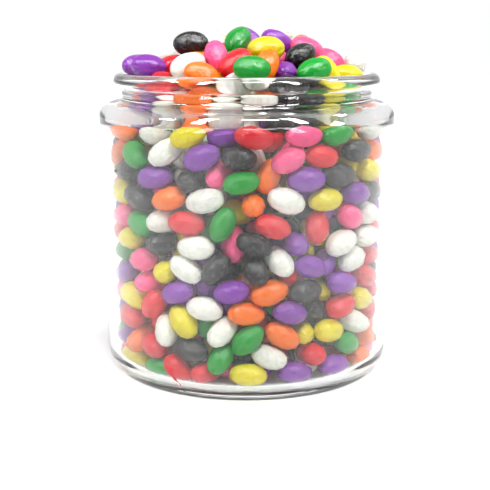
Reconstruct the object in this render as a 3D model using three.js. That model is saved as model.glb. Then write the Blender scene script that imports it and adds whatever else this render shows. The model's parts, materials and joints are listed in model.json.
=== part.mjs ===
// A wide-mouth clear glass candy jar, packed with candy beans and heaped above its rim.
// Millimetres, +Z up. The origin is on the jar's axis, in the plane that the jar rests on.
import * as THREE from "three";

// ---- Driving dimensions ----

// The jar's body: a wall between a rounded heel and a rounded shoulder. Its draft is how much
// narrower it is at the heel than at the shoulder.
const BODY_RADIUS = 79;
const BODY_DRAFT = 1.8;
const WALL = 5;
const HEEL_WIDTH = 8;
const HEEL_HEIGHT = 15;
const SHOULDER_START = 136.5;
const SHOULDER_WIDTH = 11.5;
const SHOULDER_HEIGHT = 8.5;
const JAR_SIDES = 48;

// The foot: a flat resting ring round a shallow push-up.
const FOOT_INNER_RADIUS = 60;
const PUSH_UP_RADIUS = 53;
const PUSH_UP = 1.2;

// The neck, its seam ring and the rounded bead of the lip.
const NECK_RADIUS = 66.5;
const NECK_INNER_RADIUS = 62;
const RING_HEIGHT = 147.8;
const RING_DEPTH = 0.35;
const BEAD_RING_RADIUS = 66.9;
const BEAD_HEIGHT = 155;
const BEAD_RADIUS = 4.1;

// The inside of the body.
const FLOOR_HEIGHT = 4.2;
const INNER_HEEL = 10;
const INNER_SHOULDER_START = 132.5;
const INNER_SHOULDER_HEIGHT = 8.5;

// One candy bean: an oval, round about its long axis.
const BEAN_HALF_LENGTH = 9.6;
const BEAN_HALF_WIDTH = 6.35;
const BEAN_DETAIL = 2;
const BEAN_SIZE_SPREAD = 0.06;

// The mound: the surface that the heaped beans' centres lie on, and the packed beans under them.
const HEAP_BEANS = 51;
const MOUND_TOP = 176.3;
const MOUND_RADIUS = 55.5;
const MOUND_DROP = 21;
const MOUND_POWER = 2.6;
const PACKED_TOP = 162;
const PACKED_DROP = 20;
const PACKED_POWER = 2.4;

// The chosen beans cover the mound's front. The others lie within this angle of its back.
const BACK_HALF_ANGLE = 86;

// Gaps that neighbouring pieces keep.
const GLASS_GAP = 0.7;
const BEAN_GAP = 0.6;

// ---- Finishes ----

function finish(color, roughness) {
  return new THREE.MeshStandardMaterial({ color, roughness, metalness: 0 });
}

const GLASS = new THREE.MeshStandardMaterial({
  color: 0xeaf2f2,
  roughness: 0.03,
  metalness: 0,
  transparent: true,
  opacity: 0.3,
});
const CANDY_MIX = finish(0xc98a70, 0.35);
const CANDY = {
  purple: finish(0x7e3ca2, 0.25),
  pink: finish(0xf868a4, 0.25),
  black: finish(0x222022, 0.3),
  white: finish(0xf3f0ea, 0.25),
  orange: finish(0xf9821e, 0.25),
  yellow: finish(0xeede1c, 0.25),
  green: finish(0x159a40, 0.25),
  red: finish(0xdd2036, 0.25),
};
const COLOURS = Object.keys(CANDY);

// ---- Profiles, as (radius, height) points ----

const at = (radius, height) => new THREE.Vector2(radius, height);

// Points on an ellipse about (radius, height), from one angle to another, in degrees.
function arc(radius, height, width, rise, from, to, steps) {
  const points = [];
  for (let i = 0; i <= steps; i++) {
    const angle = THREE.MathUtils.degToRad(from + ((to - from) * i) / steps);
    points.push(at(radius + width * Math.cos(angle), height + rise * Math.sin(angle)));
  }
  return points;
}

// The inside of the jar from the floor's edge up to the neck, moved in by a clearance.
function innerWall(clearance) {
  const radius = BODY_RADIUS - WALL - clearance;
  const heel = INNER_HEEL;
  const shoulder = radius - (NECK_INNER_RADIUS - clearance);
  return [
    ...arc(radius - BODY_DRAFT - heel, FLOOR_HEIGHT + clearance + heel, heel, heel, -90, 0, 5),
    ...arc(radius - shoulder, INNER_SHOULDER_START, shoulder, INNER_SHOULDER_HEIGHT - clearance, 0, 90, 5),
  ];
}

function jarProfile() {
  const heelRadius = BODY_RADIUS - BODY_DRAFT - HEEL_WIDTH;
  const shoulderRadius = BODY_RADIUS - SHOULDER_WIDTH;
  return [
    at(0, PUSH_UP),
    at(PUSH_UP_RADIUS, PUSH_UP),
    at(FOOT_INNER_RADIUS, 0),
    ...arc(heelRadius, HEEL_HEIGHT, HEEL_WIDTH, HEEL_HEIGHT, -90, 0, 5),
    ...arc(shoulderRadius, SHOULDER_START, SHOULDER_WIDTH, SHOULDER_HEIGHT, 0, 90, 6),
    at(NECK_RADIUS, SHOULDER_START + SHOULDER_HEIGHT + 0.6),
    at(NECK_RADIUS, RING_HEIGHT - 1),
    at(NECK_RADIUS + RING_DEPTH, RING_HEIGHT),
    at(NECK_RADIUS, RING_HEIGHT + 1),
    ...arc(BEAD_RING_RADIUS, BEAD_HEIGHT, BEAD_RADIUS, BEAD_RADIUS, -75, 180, 10),
    at(NECK_INNER_RADIUS, BEAD_HEIGHT - BEAD_RADIUS),
    ...innerWall(0).reverse(),
    at(0, FLOOR_HEIGHT),
  ];
}

function packedProfile() {
  const edge = NECK_INNER_RADIUS - GLASS_GAP;
  const dome = [];
  for (let i = 0; i <= 8; i++) {
    const radius = edge * (1 - i / 8);
    dome.push(at(radius, packedTop(radius)));
  }
  return [at(0, FLOOR_HEIGHT + GLASS_GAP), ...innerWall(GLASS_GAP), ...dome];
}

// A solid turned about the Z axis. Its profile starts and ends on the axis.
function turned(profile) {
  return new THREE.LatheGeometry(profile, JAR_SIDES).rotateX(Math.PI / 2);
}

// ---- The mound of beans ----

function moundHeight(radius) {
  return MOUND_TOP - MOUND_DROP * (radius / MOUND_RADIUS) ** MOUND_POWER;
}

function packedTop(radius) {
  return PACKED_TOP - PACKED_DROP * (radius / MOUND_RADIUS) ** PACKED_POWER;
}

function packedSlope(radius) {
  return (-PACKED_DROP * PACKED_POWER * (radius / MOUND_RADIUS) ** (PACKED_POWER - 1)) / MOUND_RADIUS;
}

// The beans that make the mound's front, chosen by hand: colour, azimuth in degrees from the
// front (-Y) towards +X, distance from the axis, rise above the mound, and the long axis as
// a heading in plan (0 lies along +X, 90 along +Y) and a pitch up.
const CHOSEN_BEANS = [
  ["purple", -84, 57, 8.5, 15, 0],
  ["purple", -66, 52, 4, 15, -8],
  ["red", -45, 54, 0, 0, -20],
  ["white", -36, 49, -1, 15, 25],
  ["orange", -23, 52.5, 0.5, 0, -22],
  ["white", -9, 53, -1.5, 0, 35],
  ["green", 2, 57.5, 8, 0, 0],
  ["orange", 16, 50, 0.5, 60, 65],
  ["black", 20, 55, 1, 0, 0],
  ["purple", 26, 44, -5, 90, 0],
  ["green", 35, 51, 2, 10, 12],
  ["yellow", 54, 50, 0, 30, -50],
  ["yellow", 80, 54, 1, 10, -10],
  ["white", 95, 56, 8, 80, 0],
  ["black", -64, 33, 1, 0, 6],
  ["pink", -25, 38, -1.5, 120, 65],
  ["red", -9, 42, -1, 0, 32],
  ["green", -18, 15, 0, 55, 35],
  ["yellow", 18, 34, -1, 0, 0],
  ["purple", 80, 18, 0, 20, -22],
  ["purple", 165, 12, 0.5, 0, -30],
  ["white", -105, 18, -1, 60, 0],
  ["white", 130, 18, 2, 0, 10],
  ["orange", 98, 29, -1, 60, -30],
  ["pink", 76, 33, 0, 0, -25],
  ["black", 45, 38, 0, 30, 15],
  ["pink", 88, 46, 1.5, 0, -25],
  ["red", -64, 43, -0.5, 0, 10],
  ["orange", -48, 33, -7, 0, -10],
  ["pink", 28, 33, -8, 90, 30],
  ["white", -95, 43, 1, 30, 20],
];

// The same numbers in the same order on every run.
function numbers(seed) {
  let state = seed;
  return () => {
    state = (state * 1664525 + 1013904223) % 4294967296;
    return state / 4294967296;
  };
}

// A bean's long axis as a unit vector, from its heading and pitch in degrees.
function longAxis(heading, pitch) {
  const turn = THREE.MathUtils.degToRad(heading);
  const lift = THREE.MathUtils.degToRad(pitch);
  return new THREE.Vector3(
    Math.cos(lift) * Math.cos(turn),
    Math.cos(lift) * Math.sin(turn),
    Math.sin(lift),
  );
}

function moundBean(colour, azimuth, radius, rise, heading, pitch, size) {
  const turn = THREE.MathUtils.degToRad(azimuth);
  const place = new THREE.Vector3(
    radius * Math.sin(turn),
    -radius * Math.cos(turn),
    moundHeight(radius) + rise,
  );
  const axis = longAxis(heading, pitch);
  return { colour, size, place, axis, home: place.clone(), lie: axis.clone() };
}

// The mound's back: beans on a golden-angle spiral, wherever no chosen bean is near.
function spiralBeans(chosen, count, random) {
  const turns = 110;
  const clear = 0.74 * (BEAN_HALF_LENGTH + BEAN_HALF_WIDTH);
  const beans = [];
  for (let i = 0; beans.length < count && i < turns; i++) {
    const radius = MOUND_RADIUS * Math.sqrt((turns - i - 0.5) / turns);
    const azimuth = (i * 137.508) % 360;
    if (Math.abs(azimuth - 180) > BACK_HALF_ANGLE) continue;
    const colour = COLOURS[Math.floor(random() * COLOURS.length)];
    const rise = -4 * random();
    const bean = moundBean(colour, azimuth, radius, rise, 360 * random(), 50 * (random() - 0.5), 1);
    const near = (other) => other.place.distanceTo(bean.place) < clear;
    if (!chosen.some(near) && !beans.some(near)) beans.push(bean);
  }
  return beans;
}

// The balls that fill a bean: each has an offset along its long axis and a radius.
const BALLS = [-0.75, -0.375, 0, 0.375, 0.75].map((share) => {
  const focus = Math.sqrt(BEAN_HALF_LENGTH ** 2 - BEAN_HALF_WIDTH ** 2);
  const offset = share * focus;
  return { offset, radius: BEAN_HALF_WIDTH * Math.sqrt(1 - (offset / focus) ** 2) };
});

// Moves a bean by a push that acts at an offset along its long axis, turning it as well.
function push(bean, offset, shift) {
  bean.place.add(shift);
  bean.axis.addScaledVector(shift, offset / BEAN_HALF_LENGTH ** 2).normalize();
}

function partBeans(first, second) {
  if (first.place.distanceTo(second.place) > 2 * BEAN_HALF_LENGTH + BEAN_GAP) return;
  for (const a of BALLS) {
    for (const b of BALLS) {
      const from = first.place.clone().addScaledVector(first.axis, a.offset * first.size);
      const to = second.place.clone().addScaledVector(second.axis, b.offset * second.size);
      const between = to.sub(from);
      const apart = a.radius * first.size + b.radius * second.size + BEAN_GAP;
      const depth = apart - between.length();
      if (depth <= 0) continue;
      between.setLength(depth / 2);
      push(second, b.offset, between);
      push(first, a.offset, between.negate());
    }
  }
}

// Keeps a bean's balls above the packed beans, inside the neck and off the lip's bead.
function keepClear(bean) {
  for (const ball of BALLS) {
    const centre = bean.place.clone().addScaledVector(bean.axis, ball.offset * bean.size);
    const radius = Math.hypot(centre.x, centre.y);
    const size = ball.radius * bean.size + BEAN_GAP;
    const floor = packedTop(radius) + size * Math.hypot(1, packedSlope(radius));
    if (centre.z < floor) push(bean, ball.offset, new THREE.Vector3(0, 0, floor - centre.z));
    const out = new THREE.Vector3(centre.x, centre.y, 0).normalize();
    const across = radius - BEAD_RING_RADIUS;
    const above = centre.z - BEAD_HEIGHT;
    const reach = Math.hypot(across, above);
    if (above > 0 && reach < size + BEAD_RADIUS) {
      const depth = size + BEAD_RADIUS - reach;
      const shift = out.clone().multiplyScalar((depth * across) / reach);
      push(bean, ball.offset, shift.setZ((depth * above) / reach));
    }
    const room = NECK_INNER_RADIUS - size;
    if (above <= 0 && radius > room) push(bean, ball.offset, out.multiplyScalar(room - radius));
  }
}

function heapBeans() {
  const random = numbers(7);
  const chosen = CHOSEN_BEANS.map((row) => moundBean(...row, 1));
  const beans = [...chosen, ...spiralBeans(chosen, HEAP_BEANS - chosen.length, random)];
  for (const bean of beans) bean.size = 1 - BEAN_SIZE_SPREAD * random();
  const rounds = 600;
  for (let round = 0; round < rounds; round++) {
    const pull = 0.04 * (1 - round / rounds);
    for (const bean of beans) {
      bean.place.lerp(bean.home, pull);
      bean.axis.lerp(bean.lie, pull).normalize();
    }
    beans.forEach((bean, i) => {
      for (const other of beans.slice(i + 1)) partBeans(bean, other);
    });
    beans.forEach(keepClear);
  }
  return beans;
}

// ---- The pieces ----

function named(name, geometry, material) {
  const mesh = new THREE.Mesh(geometry, material);
  mesh.name = name;
  return mesh;
}

function beanMesh(bean, index) {
  const geometry = new THREE.IcosahedronGeometry(1, BEAN_DETAIL);
  geometry.scale(BEAN_HALF_WIDTH, BEAN_HALF_WIDTH, BEAN_HALF_LENGTH);
  const number = String(index + 1).padStart(2, "0");
  const mesh = named("heap_bean_" + number + "_" + bean.colour, geometry, CANDY[bean.colour]);
  mesh.quaternion.setFromUnitVectors(new THREE.Vector3(0, 0, 1), bean.axis);
  mesh.position.copy(bean.place);
  mesh.scale.setScalar(bean.size);
  return mesh;
}

function candyJar() {
  const jar = new THREE.Group();
  jar.add(named("glass_jar", turned(jarProfile()), GLASS));
  jar.add(named("packed_beans", turned(packedProfile()), CANDY_MIX));
  const heap = new THREE.Group();
  heapBeans().forEach((bean, index) => heap.add(beanMesh(bean, index)));
  jar.add(heap);
  return jar;
}

export default candyJar();
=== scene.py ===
"""A filled candy jar: a clear glass jar, packed with candy beans and heaped above its rim."""

import json
import math

import bmesh
import bpy
import numpy as np
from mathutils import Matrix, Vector


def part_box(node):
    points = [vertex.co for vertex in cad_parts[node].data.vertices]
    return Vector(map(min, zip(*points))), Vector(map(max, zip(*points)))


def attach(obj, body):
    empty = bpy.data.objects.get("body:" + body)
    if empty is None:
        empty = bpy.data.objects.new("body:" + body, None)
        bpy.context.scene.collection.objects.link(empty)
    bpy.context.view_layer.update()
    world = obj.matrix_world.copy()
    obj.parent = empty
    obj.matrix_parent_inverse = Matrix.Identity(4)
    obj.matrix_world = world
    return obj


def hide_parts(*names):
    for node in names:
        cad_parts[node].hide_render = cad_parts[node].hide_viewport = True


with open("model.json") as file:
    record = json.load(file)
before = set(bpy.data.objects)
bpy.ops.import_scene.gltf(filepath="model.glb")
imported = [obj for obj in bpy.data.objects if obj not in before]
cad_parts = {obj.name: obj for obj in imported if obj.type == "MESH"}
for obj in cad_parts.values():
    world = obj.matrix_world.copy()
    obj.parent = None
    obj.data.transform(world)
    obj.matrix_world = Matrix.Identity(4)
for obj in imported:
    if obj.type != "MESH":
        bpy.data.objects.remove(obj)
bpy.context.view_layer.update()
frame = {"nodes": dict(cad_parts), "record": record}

bl_info = {
    "name": "Filled Candy Jar",
    "version": (1, 0, 0),
    "blender": (4, 5, 0),
    "location": "View3D > Sidebar > Candy Jar",
    "description": "Makes a clear glass jar packed with candy beans, and its stage",
    "category": "Add Mesh",
}

JAR_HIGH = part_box("glass_jar")[1]
ROOT_BODY = next(b for b, nodes in frame["record"]["behaviour"]["bodies"].items() if "glass_jar" in nodes)
HEAP_NODES = sorted(name for name in frame["nodes"] if name.startswith("heap_bean_"))

MM = 0.001
COLOURS = ("purple", "pink", "black", "white", "orange", "yellow", "green", "red")
COLOUR_SHARES = (0.14, 0.10, 0.12, 0.13, 0.16, 0.12, 0.11, 0.12)


# ---- Sizes and colours that a user would change ----


def length(name, description, default):
    """A length property in metres."""
    return bpy.props.FloatProperty(name=name, description=description, default=default, unit="LENGTH")


def number(name, description, default, subtype="NONE"):
    """A property that is a plain number or an angle."""
    return bpy.props.FloatProperty(name=name, description=description, default=default, subtype=subtype)


def colour(name, description, default):
    """A colour property, in linear light."""
    return bpy.props.FloatVectorProperty(
        name=name, description=description, default=default, subtype="COLOR", min=0, max=1
    )


class JarSettings(bpy.types.PropertyGroup):
    """Sizes of the glass jar."""

    radius: length("Body radius", "Outer radius of the straight wall", JAR_HIGH.x)
    height: length("Height", "From the foot ring to the top of the lip", JAR_HIGH.z)
    draft: length("Draft", "How much narrower the wall is at the heel than at the shoulder", 1.8 * MM)
    wall: length("Wall", "Thickness of the wall", 5 * MM)
    floor: length("Floor", "Height of the inside of the base", 4.2 * MM)
    neck: length("Neck radius", "Outer radius of the neck", 66.5 * MM)
    mouth: length("Mouth radius", "Inner radius of the neck", 62 * MM)
    bead: length("Lip bead radius", "Radius of the rounded lip's section", 4.1 * MM)
    seam: length("Seam ring", "How far the seam ring stands out from the neck", 0.3 * MM)
    ripple: length("Ripple", "Height of the faint waves that pressing leaves in the glass", 0.08 * MM)
    sides: bpy.props.IntProperty(name="Sides", description="Faces round the jar", default=192, min=24)
    tint: colour("Tint", "Colour that the glass lets through", (0.992, 0.998, 0.995))


class BeanSettings(bpy.types.PropertyGroup):
    """Sizes, number and colours of the candy beans."""

    half_length: length("Half length", "Half of a bean's length", 9.6 * MM)
    half_width: length("Half width", "Half of a bean's width", 6.35 * MM)
    gap: length("Gap", "Least space between two beans", 0.05 * MM)
    count: bpy.props.IntProperty(name="Packed beans", description="Beans inside the jar", default=960)
    seed: bpy.props.IntProperty(name="Seed", description="Picks the packing and the colours", default=11)
    purple: colour("Purple", "Shell colour", (0.220, 0.035, 0.360))
    pink: colour("Pink", "Shell colour", (0.920, 0.085, 0.260))
    black: colour("Black", "Shell colour", (0.014, 0.012, 0.013))
    white: colour("White", "Shell colour", (0.800, 0.770, 0.710))
    orange: colour("Orange", "Shell colour", (0.930, 0.165, 0.001))
    yellow: colour("Yellow", "Shell colour", (0.740, 0.600, 0.001))
    green: colour("Green", "Shell colour", (0.002, 0.290, 0.022))
    red: colour("Red", "Shell colour", (0.720, 0.010, 0.022))


class StageSettings(bpy.types.PropertyGroup):
    """Floor, light and camera."""

    floor_radius: length("Floor radius", "Radius of the round floor", 4)
    camera_distance: length("Camera distance", "From the jar's axis, level", 0.556)
    camera_height: length("Camera height", "Above the floor", 0.1787)
    camera_pitch: number("Camera pitch", "Looks down by this angle", 0.202, "ANGLE")
    camera_turn: number("Camera turn", "Looks past the jar's axis by this angle", 0.0017, "ANGLE")
    lens: number("Lens", "Focal length in millimetres", 75.4)
    sky: number("Sky", "Brightness overhead", 0.5)
    walls: number("Walls", "Brightness behind and beside the jar", 0.9)
    room: number("Room", "Brightness behind the camera", 0.2)
    lamps: number("Lamps", "Power of the front lamp in watts", 14.5)
    strips: number("Strips", "Power of each highlight strip in watts", 18)


# ---- Node tree helpers ----


def add_node(tree, kind, inputs=None, **values):
    """Adds a node. Inputs map a socket's name or number to a constant or to the socket that feeds it."""
    node = tree.nodes.new(kind)
    for name, value in values.items():
        setattr(node, name, value)
    for key, value in (inputs or {}).items():
        if isinstance(value, bpy.types.NodeSocket):
            tree.links.new(value, node.inputs[key])
        else:
            node.inputs[key].default_value = value
    return node


def maths(tree, operation, *terms, clamp=False):
    """A Math node's output."""
    node = add_node(tree, "ShaderNodeMath", dict(enumerate(terms)), operation=operation, use_clamp=clamp)
    return node.outputs[0]


def stretch(tree, value, low, high, to_low, to_high):
    """Maps low..high to to_low..to_high, clamped."""
    inputs = {"Value": value, "From Min": low, "From Max": high, "To Min": to_low, "To Max": to_high}
    return add_node(tree, "ShaderNodeMapRange", inputs).outputs["Result"]


def noise(tree, vector, scale, detail=3.0, roughness=0.55):
    """A Noise Texture's factor."""
    inputs = {"Vector": vector, "Scale": scale, "Detail": detail, "Roughness": roughness}
    return add_node(tree, "ShaderNodeTexNoise", inputs).outputs["Fac"]


def blended(tree, factor, first, second):
    """Two colours mixed by a factor."""
    node = add_node(tree, "ShaderNodeMix", data_type="RGBA")
    for index, value in ((0, factor), (6, first), (7, second)):
        if isinstance(value, bpy.types.NodeSocket):
            tree.links.new(value, node.inputs[index])
        else:
            node.inputs[index].default_value = value
    return node.outputs[2]


def new_material(name):
    """An empty material with its tree and its output node."""
    material = bpy.data.materials.new(name)
    material.use_nodes = True
    tree = material.node_tree
    tree.nodes.clear()
    return material, tree, tree.nodes.new("ShaderNodeOutputMaterial")


# ---- Materials ----


GLASS_IOR = 1.5
UNBENT_LIGHT = (0.82, 0.84, 0.83, 1)
WAVE_SCALE, WAVE_HEIGHT = 70.0, 0.1 * MM

MOTTLE_SCALE, GRAIN_SCALE, WANDER_SCALE = 420.0, 2600.0, 190.0
COLOUR_DUST, BLACK_DUST = 0.06, 0.4
CREASES, CREASE_WANDER = 6.0, 9.0
CREASE_RELIEF, MOTTLE_RELIEF, GRAIN_RELIEF, SHELL_RELIEF = 0.12, 0.5, 0.12, 0.8 * MM
SMOOTH_SHELL, DULL_SHELL = 0.06, 0.22
SHELL_SPECULAR, SHELL_SUBSURFACE, SUBSURFACE_DEPTH = 0.33, 0.12, 1.2 * MM

# The third colour is painted shade: the grey that only reflections see on the floor in front of the jar. The
# next line gives where that grey fades out.
PAPER, PAPER_SHADE, REFLECTED_SHADE = (0.93, 0.93, 0.93, 1), (0.96, 0.96, 0.96, 1), (0.42, 0.42, 0.42, 1)
REFLECTED_SHADE_SIDE_EDGE, REFLECTED_SHADE_BACK_EDGE = (0.05, 0.3), (-0.14, -0.04)
FAR_FLOOR, BACK_FLOOR, FAR_GLOW = (0.3, 1.2), (0.05, 1.2), 0.8


def glass_material(tint):
    """Clear pressed glass. Lamplight and the light that beans scatter pass through it unbent."""
    material, tree, output = new_material("clear_pressed_glass")
    place = add_node(tree, "ShaderNodeTexCoord").outputs["Object"]
    squeezed = add_node(tree, "ShaderNodeMapping", {"Vector": place, "Scale": (1.0, 1.0, 0.35)}).outputs[0]
    height = noise(tree, squeezed, WAVE_SCALE, 2.0)
    relief = {"Strength": 0.5, "Distance": WAVE_HEIGHT, "Height": height}
    glass = add_node(
        tree,
        "ShaderNodeBsdfPrincipled",
        {
            "Base Color": (*tint, 1),
            "Roughness": 0.0,
            "IOR": GLASS_IOR,
            "Transmission Weight": 1.0,
            "Normal": add_node(tree, "ShaderNodeBump", relief).outputs["Normal"],
        },
    )
    clear = add_node(tree, "ShaderNodeBsdfTransparent", {"Color": UNBENT_LIGHT})
    path = add_node(tree, "ShaderNodeLightPath").outputs
    unbent = maths(tree, "MAXIMUM", path["Is Shadow Ray"], path["Is Diffuse Ray"])
    mixed = add_node(tree, "ShaderNodeMixShader", {0: unbent, 1: glass.outputs[0], 2: clear.outputs[0]})
    tree.links.new(mixed.outputs[0], output.inputs["Surface"])
    return material


def candy_material(name, shell):
    """A glossy sugar shell: mottled, finely grained, creased along the bean's length."""
    material, tree, output = new_material("candy_shell_" + name)
    place = add_node(tree, "ShaderNodeAttribute", attribute_name="bean_place").outputs["Vector"]
    tone = add_node(tree, "ShaderNodeAttribute", attribute_name="bean_tone").outputs["Fac"]
    shifted = add_node(tree, "ShaderNodeVectorMath", {0: place, 1: tone}, operation="ADD").outputs[0]

    mottle = noise(tree, shifted, MOTTLE_SCALE, 4.0, 0.6)
    grain = noise(tree, shifted, GRAIN_SCALE, 2.0, 0.6)
    pale = (*(0.75 * c + 0.25 for c in shell), 1)
    deep = (*(0.6 * c for c in shell), 1)
    dust = BLACK_DUST if name == "black" else COLOUR_DUST
    coat = blended(tree, stretch(tree, mottle, 0.45, 0.7, 0.0, 0.4), (*shell, 1), deep)
    coat = blended(tree, stretch(tree, mottle, 0.46, 0.25, 0.0, dust), coat, pale)
    speck = maths(tree, "MULTIPLY", stretch(tree, grain, 0.6, 0.72, 0.0, 1.0), dust)
    coat = blended(tree, speck, coat, pale)
    value = stretch(tree, tone, 0.0, 1.0, 0.9, 1.08)
    toned = add_node(tree, "ShaderNodeHueSaturation", {"Value": value, "Color": coat}).outputs[0]

    axes = add_node(tree, "ShaderNodeSeparateXYZ", {0: place}).outputs
    angle = maths(tree, "ARCTAN2", axes[0], axes[1])
    wander = maths(tree, "MULTIPLY", noise(tree, shifted, WANDER_SCALE, 2.0), CREASE_WANDER)
    crease = maths(tree, "SINE", maths(tree, "ADD", maths(tree, "MULTIPLY", angle, CREASES), wander))
    height = maths(tree, "MULTIPLY", crease, CREASE_RELIEF)
    height = maths(tree, "ADD", height, maths(tree, "MULTIPLY", mottle, MOTTLE_RELIEF))
    height = maths(tree, "ADD", height, maths(tree, "MULTIPLY", grain, GRAIN_RELIEF))
    relief = {"Strength": 1.0, "Distance": SHELL_RELIEF, "Height": height}
    shader = add_node(
        tree,
        "ShaderNodeBsdfPrincipled",
        {
            "Base Color": toned,
            "Roughness": stretch(tree, mottle, 0.3, 0.75, SMOOTH_SHELL, DULL_SHELL),
            "Normal": add_node(tree, "ShaderNodeBump", relief).outputs["Normal"],
            "Specular IOR Level": SHELL_SPECULAR,
            "Subsurface Weight": 0.0 if name == "black" else SHELL_SUBSURFACE,
            "Subsurface Radius": (1.0, 0.6, 0.4),
            "Subsurface Scale": SUBSURFACE_DEPTH,
        },
    )
    tree.links.new(shader.outputs[0], output.inputs["Surface"])
    return material


def candy_finish(name):
    """The shell material of one colour, made once."""
    made = bpy.data.materials.get("candy_shell_" + name)
    beans = bpy.context.scene.candy_beans
    return made or candy_material(name, tuple(getattr(beans, name)))


def floor_material():
    """Plain white paper, brighter far off. Reflections see painted shade: in front of the jar the floor is
    grey for reflected rays only.
    """
    material, tree, output = new_material("white_floor")
    place = add_node(tree, "ShaderNodeTexCoord").outputs["Object"]
    axes = add_node(tree, "ShaderNodeSeparateXYZ", {0: place}).outputs
    path = add_node(tree, "ShaderNodeLightPath").outputs

    paper = blended(tree, noise(tree, place, 6.0), PAPER, PAPER_SHADE)
    # Painted shade in reflections: in front of the jar the floor turns grey for reflected rays only.
    beside = stretch(tree, maths(tree, "ABSOLUTE", axes[0]), *REFLECTED_SHADE_SIDE_EDGE, 1.0, 0.0)
    reflected_shade_mask = maths(tree, "MULTIPLY", beside, stretch(tree, axes[1], *REFLECTED_SHADE_BACK_EDGE, 1.0, 0.0))
    reflected = stretch(tree, path["Glossy Depth"], 0.0, 1.0, 0.0, 1.0)
    tone = blended(tree, maths(tree, "MULTIPLY", reflected, reflected_shade_mask), paper, REFLECTED_SHADE)

    bounces = maths(tree, "ADD", path["Glossy Depth"], path["Diffuse Depth"])
    away = add_node(tree, "ShaderNodeVectorMath", {0: place}, operation="LENGTH").outputs["Value"]
    far = stretch(tree, away, *FAR_FLOOR, 0.0, FAR_GLOW)
    far = maths(tree, "MULTIPLY", far, maths(tree, "LESS_THAN", bounces, 0.5))
    back = stretch(tree, axes[1], *BACK_FLOOR, 0.0, FAR_GLOW)
    shader = add_node(
        tree,
        "ShaderNodeBsdfPrincipled",
        {
            "Base Color": tone,
            "Roughness": 0.55,
            "Emission Color": (1, 1, 1, 1),
            "Emission Strength": maths(tree, "MAXIMUM", far, back),
        },
    )
    tree.links.new(shader.outputs[0], output.inputs["Surface"])
    return material


# ---- Mesh helpers ----


def add_mesh_object(name, vertices, faces, material=None):
    """A smooth mesh object at the origin."""
    mesh = bpy.data.meshes.new(name)
    mesh.from_pydata([tuple(v) for v in vertices], [], faces)
    mesh.polygons.foreach_set("use_smooth", [True] * len(mesh.polygons))
    if material:
        mesh.materials.append(material)
    made = bpy.data.objects.new(name, mesh)
    bpy.context.scene.collection.objects.link(made)
    return made


def store(mesh, name, kind, values):
    """Stores one value for each vertex."""
    attribute = mesh.attributes.new(name, kind, "POINT")
    key = "vector" if kind == "FLOAT_VECTOR" else "value"
    attribute.data.foreach_set(key, np.asarray(values, np.float32).ravel())


def arc(radius, height, width, rise, start, end, steps):
    """Points (radius, height) on an ellipse, from one angle to another, in degrees."""
    angles = np.radians(np.linspace(start, end, steps + 1))
    return list(zip(radius + width * np.cos(angles), height + rise * np.sin(angles)))


def spun(outline, sides):
    """Vertices and faces of an outline turned about Z. It starts and ends on the axis."""
    turn = np.linspace(0, 2 * np.pi, sides, endpoint=False)
    rings = np.array(outline[1:-1])
    points = np.stack(
        [
            np.outer(rings[:, 0], np.cos(turn)),
            np.outer(rings[:, 0], np.sin(turn)),
            np.repeat(rings[:, 1:], sides, axis=1),
        ],
        axis=-1,
    ).reshape(-1, 3)
    count = len(rings)
    vertices = [*points, (0, 0, outline[0][1]), (0, 0, outline[-1][1])]
    first, last = count * sides, count * sides + 1
    faces = []
    for k in range(sides):
        after = (k + 1) % sides
        faces.append((first, after, k))
        faces.append((last, (count - 1) * sides + k, (count - 1) * sides + after))
        faces += [
            (r * sides + k, r * sides + after, (r + 1) * sides + after, (r + 1) * sides + k)
            for r in range(count - 1)
        ]
    return np.array(vertices), faces


# ---- The glass jar ----


HEEL_WIDTH, HEEL_HEIGHT, INNER_HEEL = 8 * MM, 15 * MM, 10 * MM
SHOULDER_WIDTH, SHOULDER_HEIGHT, SHOULDER_START = 11.5 * MM, 8.5 * MM, 136.5 * MM
INNER_SHOULDER_START, INNER_SHOULDER_HEIGHT = 132.5 * MM, 8.5 * MM
SEAM_HEIGHT = 147.8 * MM
PUSH_UP, PUSH_UP_RADIUS = 1.2 * MM, 30 * MM
GROOVE_RADIUS, RING_RADIUS, RING_EDGE = 51 * MM, 62 * MM, 66 * MM
BEAD_OFFSET = 4.9 * MM
WALL_STEPS = 20

WAVE_GRIP_START, WAVE_GRIP_LENGTH, WAVE_SUM = 4, 12, 2.2


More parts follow.
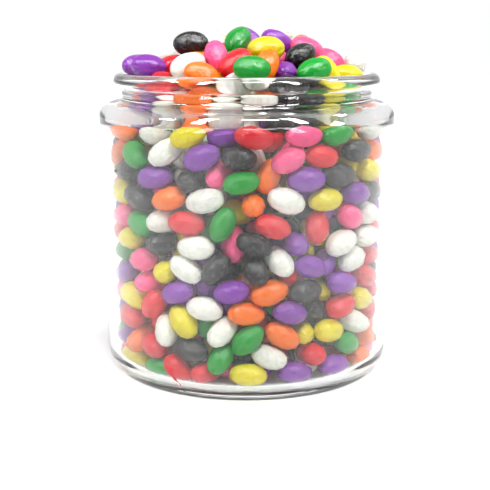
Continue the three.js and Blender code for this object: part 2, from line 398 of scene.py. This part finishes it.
def jar_outline(jar):
    """The jar's section, from the middle of its underside round to the middle of its floor."""
    radius, bead, foot = jar.radius, jar.bead, jar.radius - jar.draft
    inner, inner_foot = radius - jar.wall, foot - jar.wall
    throat = inner - jar.mouth
    straight = SHOULDER_START - HEEL_HEIGHT
    steps = range(1, WALL_STEPS)
    return [
        (0, PUSH_UP),
        (PUSH_UP_RADIUS, PUSH_UP),
        *arc(GROOVE_RADIUS, 0.6 * MM, 3 * MM, 0.6 * MM, 90, 30, 4),
        *arc(RING_RADIUS, 0.5 * MM, 3 * MM, 0.5 * MM, 210, 270, 4),
        (RING_EDGE, 0),
        *arc(foot - HEEL_WIDTH, HEEL_HEIGHT, HEEL_WIDTH, HEEL_HEIGHT, -90, 0, 18),
        *[(foot + jar.draft * k / WALL_STEPS, HEEL_HEIGHT + straight * k / WALL_STEPS) for k in steps],
        *arc(radius - SHOULDER_WIDTH, SHOULDER_START, SHOULDER_WIDTH, SHOULDER_HEIGHT, 0, 80, 20),
        *arc(jar.neck + 1.6 * MM, 146.6 * MM, 1.6 * MM, 1.7 * MM, 255, 180, 6),
        *arc(jar.neck, SEAM_HEIGHT + 0.4 * MM, jar.seam, 0.9 * MM, -90, 90, 8),
        *arc(jar.neck + 1.2 * MM, 150.2 * MM, 1.2 * MM, 1.1 * MM, 180, 130, 4),
        *arc(jar.mouth + BEAD_OFFSET, jar.height - bead, bead, bead, -62, 182, 32),
        *arc(jar.mouth - 1.5 * MM, 151 * MM, 1.5 * MM, 2.4 * MM, 40, 0, 4),
        *[(jar.mouth, height * MM) for height in (148.5, 146, 143.5)],
        *arc(jar.mouth + 1.4 * MM, 142.6 * MM, 1.4 * MM, 1.6 * MM, 180, 262, 5),
        *arc(jar.mouth, INNER_SHOULDER_START, throat, INNER_SHOULDER_HEIGHT, 80, 0, 18),
        *[(inner - jar.draft * k / WALL_STEPS, inner_height(k / WALL_STEPS, jar)) for k in steps],
        *arc(inner_foot - INNER_HEEL, jar.floor + INNER_HEEL, INNER_HEEL, INNER_HEEL, 0, -90, 16),
        *[(r * MM, jar.floor - 0.1 * MM * math.cos(r / 40)) for r in (50, 35, 20, 8)],
        (0, jar.floor),
    ]


def inner_height(share, jar):
    """A height on the inside of the wall: 0 at the shoulder, 1 at the heel."""
    return INNER_SHOULDER_START + (jar.floor + INNER_HEEL - INNER_SHOULDER_START) * share


def rippled(points, height):
    """The faint waves of pressed glass: long along the wall, and never on the foot."""
    turn = np.arctan2(points[:, 1], points[:, 0])
    up = points[:, 2] / MM
    wave = np.sin(3 * turn + up / 31)
    wave += 0.7 * np.sin(5 * turn - up / 23 + 1.3)
    wave += 0.5 * np.sin(11 * turn + up / 17 + 0.4)
    grip = np.clip((up - WAVE_GRIP_START) / WAVE_GRIP_LENGTH, 0, 1)
    radius = np.maximum(np.hypot(*points[:, :2].T), MM)
    out = points.copy()
    out[:, :2] *= (1 + height * grip * wave / WAVE_SUM / radius)[:, None]
    return out


class CANDYJAR_OT_glass_jar(bpy.types.Operator):
    """Make the clear glass jar"""

    bl_idname = "candyjar.glass_jar"
    bl_label = "Glass Jar"

    def execute(self, context):
        jar = context.scene.candy_jar
        vertices, faces = spun(jar_outline(jar), jar.sides)
        waved = rippled(vertices, jar.ripple)
        made = add_mesh_object("clear_glass_jar", waved, faces, glass_material(jar.tint))
        shell = bmesh.new()
        shell.from_mesh(made.data)
        bmesh.ops.recalc_face_normals(shell, faces=shell.faces)
        shell.to_mesh(made.data)
        shell.free()
        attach(made, ROOT_BODY)
        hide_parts("glass_jar")
        return {"FINISHED"}


# ---- Candy beans: shape ----


FULLNESS = 0.93
CREASE_DEPTH, DENT_REACH, DENT_DEPTH, BEND = (0.05, 0.16), (0.25, 0.55), (0.1, 0.35), (0, 0.5)
FULL_TURN = 6.3


def oval(rings, segments, half_length, half_width, fullness):
    """A closed oval's vertices and faces, its long axis along Z. A fullness under 1 plumps its ends."""
    polar = np.linspace(0, np.pi, rings + 1)[1:-1]
    turn = np.linspace(0, 2 * np.pi, segments, endpoint=False)
    girth = half_width * np.sin(polar) ** fullness
    points = np.stack(
        [
            np.outer(girth, np.cos(turn)),
            np.outer(girth, np.sin(turn)),
            np.repeat(half_length * np.cos(polar)[:, None], segments, axis=1),
        ],
        axis=-1,
    ).reshape(-1, 3)
    count = len(polar)
    top, bottom = count * segments, count * segments + 1
    vertices = np.array([*points, (0, 0, half_length), (0, 0, -half_length)])
    faces = []
    for k in range(segments):
        after = (k + 1) % segments
        faces.append((top, k, after))
        faces.append((bottom, (count - 1) * segments + after, (count - 1) * segments + k))
        faces += [
            (r * segments + k, (r + 1) * segments + k, (r + 1) * segments + after, r * segments + after)
            for r in range(count - 1)
        ]
    return vertices, faces


def dented(points, half_length, half_width, random):
    """The small faults of a real bean: a bend, creases along its length, and a few soft dents."""
    out = points.copy()
    along = points[:, 2] / half_length
    around = np.arctan2(points[:, 1], points[:, 0])
    outward = points / np.array([half_width, half_width, half_length])
    outward /= np.linalg.norm(outward, axis=1)[:, None]
    ridges = random.integers(4, 7)
    crease = np.cos(ridges * around + random.uniform(0, FULL_TURN) + random.uniform(-1, 1) * along)
    depth = random.uniform(*CREASE_DEPTH) * MM * crease * (1 - along**4)
    for _ in range(random.integers(3, 6)):
        spot = random.normal(size=3)
        spot /= np.linalg.norm(spot)
        reach = random.uniform(*DENT_REACH)
        apart = np.sum((outward - spot) ** 2, axis=1)
        depth -= random.uniform(*DENT_DEPTH) * MM * np.exp(-apart / reach**2)
    out += outward * depth[:, None]
    bend = random.uniform(*BEND) * MM
    out[:, 0] += bend * (along**2 - 0.35)
    return out


def axes_of(points):
    """Centre, long axis, half length and half width of a packed bean's points."""
    points = np.unique(np.round(points, 7), axis=0)
    centre = (points.min(0) + points.max(0)) / 2
    spread = np.linalg.eigh(np.cov((points - centre).T))[1]
    axis = spread[:, -1]
    along = (points - centre) @ axis
    across = np.linalg.norm(points - centre - np.outer(along, axis), axis=1)
    return centre, axis, np.abs(along).max(), across.max()


def turned_to(axis, spin):
    """A rotation matrix that turns Z to an axis, after a spin about Z."""
    upright = Vector((0, 0, 1)).rotation_difference(Vector(axis)).to_matrix()
    cos, sin = math.cos(spin), math.sin(spin)
    return np.array(upright) @ np.array([[cos, -sin, 0], [sin, cos, 0], [0, 0, 1]])


def node_points(name):
    """A CAD node's vertices as an array."""
    mesh = frame["nodes"][name].data
    points = np.empty(len(mesh.vertices) * 3)
    mesh.vertices.foreach_get("co", points)
    return points.reshape(-1, 3)


def body_of_node(name):
    """The body that a CAD node belongs to."""
    return next(b for b, nodes in frame["record"]["behaviour"]["bodies"].items() if name in nodes)


class CANDYJAR_OT_heap_beans(bpy.types.Operator):
    """Make the beans that are heaped above the rim, each on its own body"""

    bl_idname = "candyjar.heap_beans"
    bl_label = "Heaped Beans"

    rings: bpy.props.IntProperty(name="Rings", description="Rings of faces along each bean", default=36)
    segments: bpy.props.IntProperty(name="Segments", description="Faces round each bean", default=48)

    def execute(self, context):
        for index, node in enumerate(HEAP_NODES):
            number, shade = node.split("_")[2:4]
            random = np.random.default_rng(1000 + index)
            centre, axis, half_length, half_width = axes_of(node_points(node))
            vertices, faces = oval(self.rings, self.segments, half_length, half_width, FULLNESS)
            local = dented(vertices, half_length, half_width, random)
            placed = local @ turned_to(axis, random.uniform(0, FULL_TURN)).T + centre
            bean = add_mesh_object(f"loose_{shade}_bean_{number}", placed, faces, candy_finish(shade))
            store(bean.data, "bean_place", "FLOAT_VECTOR", local)
            store(bean.data, "bean_tone", "FLOAT", np.full(len(local), random.uniform()))
            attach(bean, body_of_node(node))
            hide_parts(node)
        return {"FINISHED"}


# ---- Candy beans: packing ----


# The colours of the beans against the front of the glass, row by row, from left to right. Where each bean
# lies in its row is left to front_start.
NECK_ROWS = (
    "green red white orange white white black yellow green yellow",
    "green purple white orange white black yellow green orange",
)
WALL_ROWS = (
    "orange orange white yellow red pink green white orange",
    "black orange green white purple black pink red black orange purple",
    "yellow black purple black green purple black yellow yellow",
    "pink yellow black orange white orange white yellow purple black red",
    "purple pink green red green red red pink white purple",
    "red yellow black white black purple white white red",
    "purple green pink white black black purple white red purple",
    "green purple pink purple purple orange black purple red black",
    "pink yellow red white orange purple red yellow red",
    "purple red white white orange yellow white red",
    "green purple red black green white red green orange orange",
    "orange yellow green red yellow purple purple orange pink",
)
NECK_TOP, WALL_TOP, WALL_FOOT = 151.5 * MM, 132 * MM, 11 * MM
ROW_SPAN = math.radians(84)
ROW_STRAY, HEIGHT_STRAY, TILT_SPREAD = 0.2, 2, 0.7
OUTWARD_SHARE, OUTWARD_LIFT = 0.07, 0.1

THROAT, ROOF = 141 * MM, 138 * MM
MOUND_TOP, MOUND_DROP, MOUND_RADIUS, MOUND_POWER = 171 * MM, 21 * MM, 55.5 * MM, 2.6
START_TOP, START_SHOULDER = 170 * MM, 136 * MM
FRONT_CLEARANCE = 1.2
SIZE_RANGE = (0.94, 1.03)

ROUNDS, ROUNDS_BETWEEN_SEARCHES = 300, 4
HEAP_EASE, FRONT_EASE, FREE_EASE = 0.0, 0.25, 1.0
FRONT_HOLD, PUSH_SHARE = 0.04, 0.45
START_SIZE, GROWTH = 0.5, 0.8
TINY, TINY_RADIUS = 1e-7, 1e-6


def bean_balls(half_length, half_width):
    """The balls that fill a bean: offsets along its long axis, and radii."""
    focus = math.sqrt(half_length**2 - half_width**2)
    offsets = focus * np.array([-0.75, -0.375, 0, 0.375, 0.75])
    return offsets, half_width * np.sqrt(1 - (offsets / focus) ** 2)


def mound_limit(radius):
    """The height that packed beans' centres stay under: a little below the heaped ones'."""
    return MOUND_TOP - MOUND_DROP * (radius / MOUND_RADIUS) ** MOUND_POWER


def inner_radius(height, jar):
    """Radius of the inside of the wall at a height."""
    share = (INNER_SHOULDER_START - height) / (INNER_SHOULDER_START - jar.floor - INNER_HEEL)
    return jar.radius - jar.wall - jar.draft * np.clip(share, 0, 1)


def wall_push(centres, sizes, jar):
    """How far each ball must move to be inside the jar and under the heap."""
    radius = np.maximum(np.hypot(centres[..., 0], centres[..., 1]), TINY_RADIUS)
    height = centres[..., 2]
    mouth = jar.mouth
    out = np.minimum(0, inner_radius(height, jar) - sizes - radius)
    up = np.maximum(0, jar.floor + sizes - height)

    across = radius - (jar.radius - jar.draft - jar.wall - INNER_HEEL)
    below = height - jar.floor - INNER_HEEL
    reach = np.maximum(np.hypot(across, below), TINY_RADIUS)
    depth = np.where((across > 0) & (below < 0), np.maximum(0, reach - INNER_HEEL + sizes), 0) / reach
    out = np.where(depth > 0, -depth * across, out)
    up = np.where(depth > 0, -depth * below, up)

    in_neck = height > THROAT
    out = np.where(in_neck, np.minimum(0, mouth - sizes - radius), out)
    away = np.maximum(np.hypot(radius - mouth, height - THROAT), TINY_RADIUS)
    near = ~in_neck & (radius <= mouth) & (away < sizes)
    out = np.where(near, (sizes - away) * (radius - mouth) / away, out)
    up = np.where(near, (sizes - away) * (height - THROAT) / away, up)
    under = ~in_neck & (radius > mouth)
    up = np.where(under, np.minimum(up, ROOF - sizes - height), up)
    up = np.minimum(up, np.where(height > ROOF, mound_limit(radius) - height, up))
    return np.stack([out * centres[..., 0] / radius, out * centres[..., 1] / radius, up], axis=-1)


def summed(index, values, count):
    """Adds rows of values that share an index."""
    return np.stack([np.bincount(index, values[:, k], count) for k in range(values.shape[1])], axis=1)


def close_pairs(place, reach, ease):
    """Pairs of beans whose centres are within reach, leaving out pairs that can't move."""
    square = np.sum(place**2, axis=1)
    apart = square[:, None] + square[None, :] - 2 * place @ place.T
    first, second = np.nonzero(np.triu(apart < reach**2, 1))
    keep = ease[first] + ease[second] > 0
    return first[keep], second[keep]


def settle(place, axis, size, ease, jar, beans):
    """Grows the free beans from small ones and pushes all apart until they lie packed. Ease is how far a bean
    gives way: 0 stays where it is, and 1 moves freely."""
    offsets, radii = bean_balls(beans.half_length, beans.half_width)
    balls, count = len(offsets), len(place)
    home = place.copy()
    hold = np.where((ease > 0) & (ease < 1), FRONT_HOLD, 0.0)[:, None]
    for turn in range(ROUNDS):
        grown = np.where(ease == 1, size * min(1.0, START_SIZE + GROWTH * turn / ROUNDS), size)
        if turn % ROUNDS_BETWEEN_SEARCHES == 0:
            first, second = close_pairs(place, 2 * beans.half_length, ease)
            share = (ease[first] / (ease[first] + ease[second]))[:, None]
            rows = np.arange(len(first))
        centres = place[:, None, :] + axis[:, None, :] * (offsets[None, :] * grown[:, None])[..., None]
        sizes = radii[None, :] * grown[:, None]
        between = centres[second][:, None, :, :] - centres[first][:, :, None, :]
        apart = np.maximum(np.linalg.norm(between, axis=-1), TINY)
        depth = sizes[first][:, :, None] + sizes[second][:, None, :] + beans.gap - apart
        depth = depth.reshape(len(first), -1)
        pick = depth.argmax(1)
        worst = np.maximum(depth[rows, pick], 0)
        stretched = worst / apart.reshape(len(first), -1)[rows, pick]
        move = between.reshape(len(first), -1, 3)[rows, pick] * stretched[:, None]
        push_one, push_two = -move * share, move * (1 - share)
        arm_one, arm_two = offsets[pick // balls][:, None], offsets[pick % balls][:, None]
        shift = summed(first, push_one, count) + summed(second, push_two, count)
        twist = summed(first, push_one * arm_one, count) + summed(second, push_two * arm_two, count)
        inward = wall_push(centres, sizes, jar)
        strongest = np.linalg.norm(inward, axis=-1).argmax(1)
        wall = inward[np.arange(count), strongest] * (ease > 0)[:, None]
        place += PUSH_SHARE * shift + wall + hold * (home - place)
        axis += (PUSH_SHARE * twist + wall * offsets[strongest][:, None]) / beans.half_length**2
        axis /= np.linalg.norm(axis, axis=1)[:, None]
    return place, axis


def front_rows(jar, beans):
    """Each front row: its height, the radius that its beans' centres lie on, and its colours."""
    rows = []
    for index, names in enumerate(NECK_ROWS):
        rows.append((NECK_TOP - index * beans.half_width, jar.mouth - beans.half_width, names.split()))
    for index, names in enumerate(WALL_ROWS):
        height = WALL_TOP + (WALL_FOOT - WALL_TOP) * index / (len(WALL_ROWS) - 1)
        rows.append((height, inner_radius(height, jar) - beans.half_width, names.split()))
    return rows


def front_start(jar, beans, random):
    """Places, headings and colours of the beans against the front of the glass. They lie evenly along their
    row with a small stray, most of them flat against the glass at any tilt, and a few end on."""
    spots, headings, shades = [], [], []
    for height, radius, names in front_rows(jar, beans):
        step = 2 * ROW_SPAN / (len(names) - 1)
        for index, name in enumerate(names):
            turn = -ROW_SPAN + step * (index + random.uniform(-ROW_STRAY, ROW_STRAY))
            level = height + random.uniform(-HEIGHT_STRAY, HEIGHT_STRAY) * MM
            tilt = random.normal(0, TILT_SPREAD)
            sin, cos = math.sin(turn), math.cos(turn)
            if random.uniform() < OUTWARD_SHARE:
                reach = radius + beans.half_width - beans.half_length
                headings.append((sin, -cos, OUTWARD_LIFT))
            else:
                reach = radius
                headings.append((math.cos(tilt) * cos, math.cos(tilt) * sin, math.sin(tilt)))
            spots.append((reach * sin, reach * -cos, level))
            shades.append(COLOURS.index(name))
    return np.array(spots), np.array(headings), shades


def packed_start(count, jar, beans, random):
    """Random places and headings inside the jar."""
    spots = []
    while len(spots) < count:
        spot = random.uniform((-1, -1, 0), (1, 1, 1)) * (jar.radius, jar.radius, START_TOP)
        radius = math.hypot(spot[0], spot[1])
        room = jar.radius - jar.wall if spot[2] < START_SHOULDER else jar.mouth
        if radius < room - beans.half_width and jar.floor + beans.half_width < spot[2] < mound_limit(radius):
            spots.append(spot)
    heading = random.normal(size=(count, 3))
    return np.array(spots), heading / np.linalg.norm(heading, axis=1)[:, None]


def pack_jar(jar, beans):
    """Places, headings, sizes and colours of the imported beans."""
    random = np.random.default_rng(beans.seed)
    heap = [axes_of(node_points(name)) for name in HEAP_NODES]
    heaped = len(heap)
    front, front_axes, front_shade = front_start(jar, beans, random)
    spots, headings = packed_start(beans.count - len(front), jar, beans, random)
    nearest = np.linalg.norm(spots[:, None] - front[None], axis=2).min(axis=1)
    spots = spots[nearest > FRONT_CLEARANCE * beans.half_width]
    place = np.vstack([[h[0] for h in heap], front, spots])
    axis = np.vstack([[h[1] for h in heap], front_axes, headings[: len(spots)]])
    ease = np.repeat([HEAP_EASE, FRONT_EASE, FREE_EASE], [heaped, len(front), len(spots)])
    drawn = random.uniform(*SIZE_RANGE, len(place) - heaped)
    size = np.concatenate([[h[2] / beans.half_length for h in heap], drawn])
    place, axis = settle(place, axis, size, ease, jar, beans)
    shade = random.choice(len(COLOURS), len(spots), p=COLOUR_SHARES)
    shade = np.concatenate([front_shade, shade])
    return place[heaped:], axis[heaped:], size[heaped:], shade, random


# ---- Candy beans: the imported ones, as instances made real ----


SWELL_SCALE, SWELL_MIDDLE, PACKED_DENTS = 110.0, 0.55, 0.9 * MM


def named_attribute(tree, name, kind):
    """A Named Attribute node's value."""
    return add_node(tree, "GeometryNodeInputNamedAttribute", {"Name": name}, data_type=kind).outputs[0]


def packed_tree():
    """A node group that puts an oval bean on every point, turned and sized by the point's attributes."""
    tree = bpy.data.node_groups.new("packed_candy_beans", "GeometryNodeTree")
    sockets = {"Points": "Geometry", "Bean": "Object", "Dents": "Float", "Material": "Material"}
    for name, kind in sockets.items():
        tree.interface.new_socket(name, in_out="INPUT", socket_type="NodeSocket" + kind)
    tree.interface.new_socket("Beans", in_out="OUTPUT", socket_type="NodeSocketGeometry")
    given = tree.nodes.new("NodeGroupInput").outputs
    bean = add_node(tree, "GeometryNodeObjectInfo", {"Object": given["Bean"]}).outputs["Geometry"]
    euler = {0: named_attribute(tree, "turn", "FLOAT_VECTOR")}
    inputs = {
        "Points": given["Points"],
        "Instance": bean,
        "Rotation": add_node(tree, "FunctionNodeEulerToRotation", euler).outputs[0],
        "Scale": named_attribute(tree, "size", "FLOAT"),
    }
    placed = add_node(tree, "GeometryNodeInstanceOnPoints", inputs).outputs[0]
    real = add_node(tree, "GeometryNodeRealizeInstances", {0: placed}).outputs[0]
    place = tree.nodes.new("GeometryNodeInputPosition").outputs[0]
    inputs = {"Vector": place, "Scale": SWELL_SCALE, "Detail": 1.0}
    swell = add_node(tree, "ShaderNodeTexNoise", inputs).outputs[0]
    amount = maths(tree, "MULTIPLY", maths(tree, "SUBTRACT", swell, SWELL_MIDDLE), given["Dents"])
    normal = tree.nodes.new("GeometryNodeInputNormal").outputs[0]
    offset = add_node(tree, "ShaderNodeVectorMath", {0: normal, 3: amount}, operation="SCALE").outputs[0]
    worn = add_node(tree, "GeometryNodeSetPosition", {"Geometry": real, "Offset": offset}).outputs[0]
    done = add_node(tree, "GeometryNodeSetMaterial", {"Geometry": worn, "Material": given["Material"]})
    output = tree.nodes.new("NodeGroupOutput")
    tree.links.new(done.outputs[0], output.inputs["Beans"])
    return tree


def set_inputs(modifier, values):
    """Sets a nodes modifier's inputs by their sockets' names."""
    for item in modifier.node_group.interface.items_tree:
        if item.item_type == "SOCKET" and item.in_out == "INPUT" and item.name in values:
            modifier[item.identifier] = values[item.name]


def make_real(source):
    """Turns an object with modifiers into a plain mesh object."""
    evaluated = source.evaluated_get(bpy.context.evaluated_depsgraph_get())
    mesh = bpy.data.meshes.new_from_object(evaluated)
    mesh.name = source.name
    points = source.data
    source.modifiers.clear()
    source.data = mesh
    bpy.data.meshes.remove(points)
    mesh.polygons.foreach_set("use_smooth", [True] * len(mesh.polygons))


def points_object(name, place, turn, size, tone):
    """A mesh of loose points that carries each bean's turn, size and tone."""
    made = add_mesh_object(name, place, [])
    store(made.data, "turn", "FLOAT_VECTOR", turn)
    store(made.data, "size", "FLOAT", size)
    store(made.data, "bean_tone", "FLOAT", tone)
    return made


class CANDYJAR_OT_packed_beans(bpy.types.Operator):
    """Pack the beans inside the jar, one piece for each colour"""

    bl_idname = "candyjar.packed_beans"
    bl_label = "Packed Beans"

    rings: bpy.props.IntProperty(name="Rings", description="Rings of faces along each bean", default=7)
    segments: bpy.props.IntProperty(name="Segments", description="Faces round each bean", default=10)

    def execute(self, context):
        jar, beans = context.scene.candy_jar, context.scene.candy_beans
        place, axis, size, shade, random = pack_jar(jar, beans)
        vertices, faces = oval(self.rings, self.segments, beans.half_length, beans.half_width, FULLNESS)
        pattern = add_mesh_object("bean_pattern", vertices, faces)
        store(pattern.data, "bean_place", "FLOAT_VECTOR", vertices)
        tree = packed_tree()
        random.uniform(0, FULL_TURN, len(place))  # keeps the tones that belong to a seed
        upright = Vector((0, 0, 1))
        turns = np.array([upright.rotation_difference(Vector(a)).to_matrix().to_euler() for a in axis])
        tone = random.uniform(size=len(place))
        for index, colour_name in enumerate(COLOURS):
            chosen = np.nonzero(shade == index)[0]
            name = f"packed_{colour_name}_beans"
            piece = points_object(name, place[chosen], turns[chosen], size[chosen], tone[chosen])
            modifier = piece.modifiers.new("Beans", "NODES")
            modifier.node_group = tree
            finish = candy_finish(colour_name)
            set_inputs(modifier, {"Bean": pattern, "Dents": PACKED_DENTS, "Material": finish})
            make_real(piece)
            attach(piece, ROOT_BODY)
            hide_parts("packed_beans")
        bpy.data.objects.remove(pattern)
        return {"FINISHED"}


# ---- The stage ----


FLOOR_SIDES = 96
LAMP_AIM = Vector((0, 0, 0.1))
SENSOR_WIDTH = 36
LEFT_SHARE, RIGHT_SHARE = 0.4, 0.35
LAMP_SIZE, SIDE_LAMP_SIZE, STRIP_SIZE = (0.42, 0.16), (0.22, 0.12), (0.16, 0.8)


def add_floor(radius):
    """A round white floor."""
    turn = np.linspace(0, 2 * np.pi, FLOOR_SIDES, endpoint=False)
    rim = [(radius * math.cos(t), radius * math.sin(t), 0) for t in turn]
    add_mesh_object("white_floor", rim, [tuple(range(FLOOR_SIDES))], floor_material())


def add_lamp(name, place, size, watts, lights_shells=True):
    """A soft rectangular lamp that faces the jar. It can give highlights only."""
    data = bpy.data.lights.new(name, "AREA")
    data.shape = "RECTANGLE"
    data.size, data.size_y = size
    data.energy = watts
    lamp = bpy.data.objects.new(name, data)
    lamp.location = place
    lamp.rotation_euler = (LAMP_AIM - Vector(place)).to_track_quat("-Z", "Y").to_euler()
    lamp.visible_diffuse = lights_shells
    bpy.context.scene.collection.objects.link(lamp)


def add_room(stage):
    """Surroundings: white behind and beside, bright overhead, darker behind the camera. The camera sees
    white, also through glass, as long as nothing is reflected on the way."""
    world = bpy.data.worlds.new("white_room")
    bpy.context.scene.world = world
    world.use_nodes = True
    tree = world.node_tree
    tree.nodes.clear()
    toward = add_node(tree, "ShaderNodeTexCoord").outputs["Generated"]
    axes = add_node(tree, "ShaderNodeSeparateXYZ", {0: toward}).outputs
    level = stretch(tree, axes[1], -0.6, 0.1, stage.room, stage.walls)
    above = stretch(tree, axes[2], 0.35, 0.85, 0.0, 1.0)
    lift = maths(tree, "MULTIPLY", above, maths(tree, "SUBTRACT", stage.sky, level))
    glow = add_node(tree, "ShaderNodeBackground", {"Strength": maths(tree, "ADD", level, lift)})
    white = add_node(tree, "ShaderNodeBackground", {"Strength": 1.0})
    for background in (glow, white):
        background.inputs["Color"].default_value = (1, 1, 1, 1)

    path = add_node(tree, "ShaderNodeLightPath").outputs
    unreflected = maths(tree, "LESS_THAN", path["Glossy Depth"], 0.5)
    through = maths(tree, "MULTIPLY", path["Is Transmission Ray"], unreflected)
    seen = maths(tree, "MAXIMUM", path["Is Camera Ray"], through)
    mixed = add_node(tree, "ShaderNodeMixShader", {0: seen, 1: glow.outputs[0], 2: white.outputs[0]})
    output = tree.nodes.new("ShaderNodeOutputWorld")
    tree.links.new(mixed.outputs[0], output.inputs["Surface"])


def add_camera(stage):
    """The camera: in front of the jar, a little above its lip, looking slightly down."""
    data = bpy.data.cameras.new("camera")
    data.lens = stage.lens
    data.sensor_width = SENSOR_WIDTH
    data.dof.use_dof = False
    camera = bpy.data.objects.new("camera", data)
    camera.location = (0, -stage.camera_distance, stage.camera_height)
    camera.rotation_euler = (math.pi / 2 - stage.camera_pitch, 0, stage.camera_turn)
    bpy.context.scene.collection.objects.link(camera)
    bpy.context.scene.camera = camera


class CANDYJAR_OT_stage(bpy.types.Operator):
    """Set up the floor, the light and the camera"""

    bl_idname = "candyjar.stage"
    bl_label = "Stage"

    def execute(self, context):
        stage = context.scene.candy_stage
        add_floor(stage.floor_radius)
        add_room(stage)
        add_lamp("front_lamp", (0.15, -0.65, 1.05), LAMP_SIZE, stage.lamps)
        add_lamp("left_lamp", (-0.85, -0.3, 0.85), SIDE_LAMP_SIZE, LEFT_SHARE * stage.lamps)
        add_lamp("right_lamp", (0.8, 0.2, 1.0), SIDE_LAMP_SIZE, RIGHT_SHARE * stage.lamps)
        add_lamp("left_strip", (-0.5, -0.65, 0.75), STRIP_SIZE, stage.strips, lights_shells=False)
        add_lamp("right_strip", (0.55, -0.6, 0.8), STRIP_SIZE, stage.strips, lights_shells=False)
        add_camera(stage)
        context.scene.view_settings.view_transform = "Standard"
        return {"FINISHED"}


# ---- Panel and registration ----


class CANDYJAR_PT_panel(bpy.types.Panel):
    """Lists the jar's pieces"""

    bl_idname = "CANDYJAR_PT_panel"
    bl_label = "Candy Jar"
    bl_space_type = "VIEW_3D"
    bl_region_type = "UI"
    bl_category = "Candy Jar"

    def draw(self, context):
        scene = context.scene
        for group in (scene.candy_jar, scene.candy_beans, scene.candy_stage):
            box = self.layout.box()
            for name in group.__annotations__:
                box.prop(group, name)
        for operator in OPERATORS:
            self.layout.operator(operator.bl_idname)


OPERATORS = (
    CANDYJAR_OT_stage,
    CANDYJAR_OT_glass_jar,
    CANDYJAR_OT_heap_beans,
    CANDYJAR_OT_packed_beans,
)
CLASSES = (JarSettings, BeanSettings, StageSettings, *OPERATORS, CANDYJAR_PT_panel)


def register():
    """Registers the classes and the scene's settings."""
    for cls in CLASSES:
        bpy.utils.register_class(cls)
    bpy.types.Scene.candy_jar = bpy.props.PointerProperty(type=JarSettings)
    bpy.types.Scene.candy_beans = bpy.props.PointerProperty(type=BeanSettings)
    bpy.types.Scene.candy_stage = bpy.props.PointerProperty(type=StageSettings)


def unregister():
    """Removes the scene's settings and the classes."""
    del bpy.types.Scene.candy_jar
    del bpy.types.Scene.candy_beans
    del bpy.types.Scene.candy_stage
    for cls in reversed(CLASSES):
        bpy.utils.unregister_class(cls)


def main():
    """Makes the whole scene."""
    register()
    bpy.ops.candyjar.stage()
    bpy.ops.candyjar.glass_jar()
    bpy.ops.candyjar.heap_beans()
    bpy.ops.candyjar.packed_beans()


if __name__ == "__main__":
    main()
